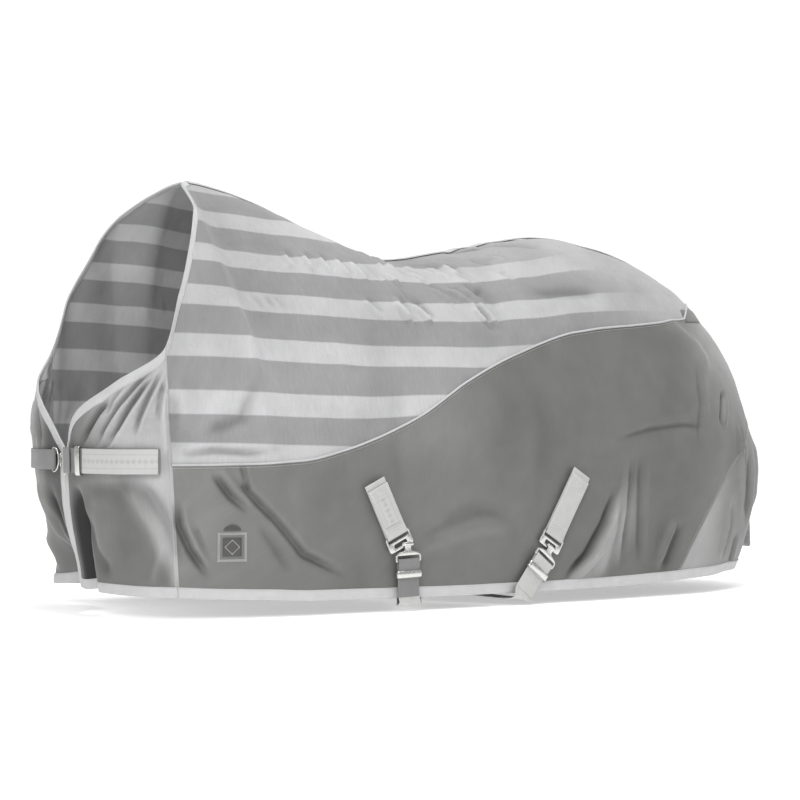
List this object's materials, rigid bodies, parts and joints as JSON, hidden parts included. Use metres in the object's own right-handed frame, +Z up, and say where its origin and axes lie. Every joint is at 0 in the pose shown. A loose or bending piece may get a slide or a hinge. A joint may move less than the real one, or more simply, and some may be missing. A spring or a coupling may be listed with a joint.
{
  "type": "horse fly sheet",
  "caption": "Grey striped mesh horse fly sheet with smooth skirts, bound edges, chest strap, crossed belly surcingles and a tail flap.",
  "frame": {"origin": "under the spine seam at the lowest point of the back, where the sheet rests on the horse", "axes": "+X to the tail, +Y to the horse's right side, +Z up"},
  "size_m": [1.7301, 0.7014, 0.8737],
  "materials": {
    "mesh": "striped knitted polyester mesh",
    "skirt": "smooth woven nylon",
    "gusset": "pale woven nylon",
    "binding": "woven edge binding",
    "webbing": "polypropylene webbing",
    "label": "woven label",
    "steel": "nickel-plated steel"
  },
  "bodies": {
    "sheet": {"emblem_patch": "label", "front_belly_strap": "webbing", "front_surcingle_eye_plate": "steel", "front_surcingle_label": "label", "front_surcingle_tab": "webbing", "left_hem_binding": "binding", "left_lower_skirt": "skirt", "left_neck_binding": "binding", "left_rear_edge_binding": "binding", "left_rear_eyelet": "steel", "left_rear_gusset": "gusset", "left_seam_piping": "binding", "left_upper_mesh": "mesh", "rear_belly_strap": "webbing", "rear_surcingle_eye_plate": "steel", "rear_surcingle_tab": "webbing", "right_hem_binding": "binding", "right_lower_skirt": "skirt", "right_neck_binding": "binding", "right_rear_edge_binding": "binding", "right_rear_eyelet": "steel", "right_rear_gusset": "gusset", "right_seam_piping": "binding", "right_upper_mesh": "mesh", "spine_tape": "binding"},
    "tail_flap": {"tail_flap": "mesh", "tail_flap_bottom_binding": "binding", "tail_flap_left_binding": "binding", "tail_flap_right_binding": "binding"},
    "left_front": {"left_chest_panel": "skirt", "left_chest_neck_binding": "binding", "left_chest_hem_binding": "binding", "left_front_edge_binding": "binding", "chest_strap": "webbing", "chest_strap_label": "label"},
    "right_front": {"right_chest_panel": "skirt", "right_chest_neck_binding": "binding", "right_chest_hem_binding": "binding", "right_front_edge_binding": "binding", "chest_ring_strap": "webbing", "chest_ring": "steel"},
    "chest_hook": {"chest_strap_hook": "steel"},
    "chest_slider": {"chest_strap_slider": "steel"},
    "front_strap_end": {"front_surcingle_strap_end": "webbing"},
    "front_hook": {"front_surcingle_hook": "steel"},
    "front_keeper": {"front_surcingle_keeper": "steel"},
    "rear_strap_end": {"rear_surcingle_strap_end": "webbing"},
    "rear_hook": {"rear_surcingle_hook": "steel"},
    "rear_keeper": {"rear_surcingle_keeper": "steel"}
  },
  "joints": [
    {"name": "left_front_open", "type": "hinge", "parent": "sheet", "child": "left_front", "pos_m": [-0.66183, -0.25892, -0.44052], "axis": [-0.0488, 0.0122, 0.9987], "range_deg": [0, 65]},
    {"name": "right_front_open", "type": "hinge", "parent": "sheet", "child": "right_front", "pos_m": [-0.66183, 0.25892, -0.44052], "axis": [0.0488, 0.0122, -0.9987], "range_deg": [0, 65]},
    {"name": "tail_flap_lift", "type": "hinge", "parent": "sheet", "child": "tail_flap", "pos_m": [0.92976, 0, -0.318], "axis": [0, -1, 0], "range_deg": [0, 100]},
    {"name": "chest_hook_swing", "type": "hinge", "parent": "left_front", "child": "chest_hook", "pos_m": [-0.7818, -0.03717, -0.41429], "axis": [-0.0225, 0.0045, 0.9997], "range_deg": [0, 15]},
    {"name": "chest_slider_slide", "type": "slide", "parent": "left_front", "child": "chest_slider", "axis": [0.1841, -0.9829, 0], "range_m": [0, 0.004]},
    {"name": "front_strap_drop", "type": "hinge", "parent": "sheet", "child": "front_strap_end", "pos_m": [-0.16435, -0.34195, -0.68854], "axis": [0.9987, -0.0232, 0.0447], "range_deg": [0, 115]},
    {"name": "front_hook_swing", "type": "hinge", "parent": "front_strap_end", "child": "front_hook", "pos_m": [-0.16755, -0.34462, -0.61835], "axis": [0.9987, -0.0232, 0.0447], "range_deg": [0, 15]},
    {"name": "front_keeper_slide", "type": "slide", "parent": "front_strap_end", "child": "front_keeper", "axis": [0.0445, -0.009, -0.999], "range_m": [-0.003, 0.012]},
    {"name": "rear_strap_drop", "type": "hinge", "parent": "sheet", "child": "rear_strap_end", "pos_m": [0.12718, -0.33601, -0.69115], "axis": [0.7828, 0.0568, -0.6197], "range_deg": [0, 115]},
    {"name": "rear_hook_swing", "type": "hinge", "parent": "rear_strap_end", "child": "rear_hook", "pos_m": [0.17584, -0.33683, -0.62976], "axis": [0.7828, 0.0568, -0.6197], "range_deg": [0, 15]},
    {"name": "rear_keeper_slide", "type": "slide", "parent": "rear_strap_end", "child": "rear_keeper", "axis": [-0.619, -0.0316, -0.7848], "range_m": [-0.003, 0.012]}
  ]
}
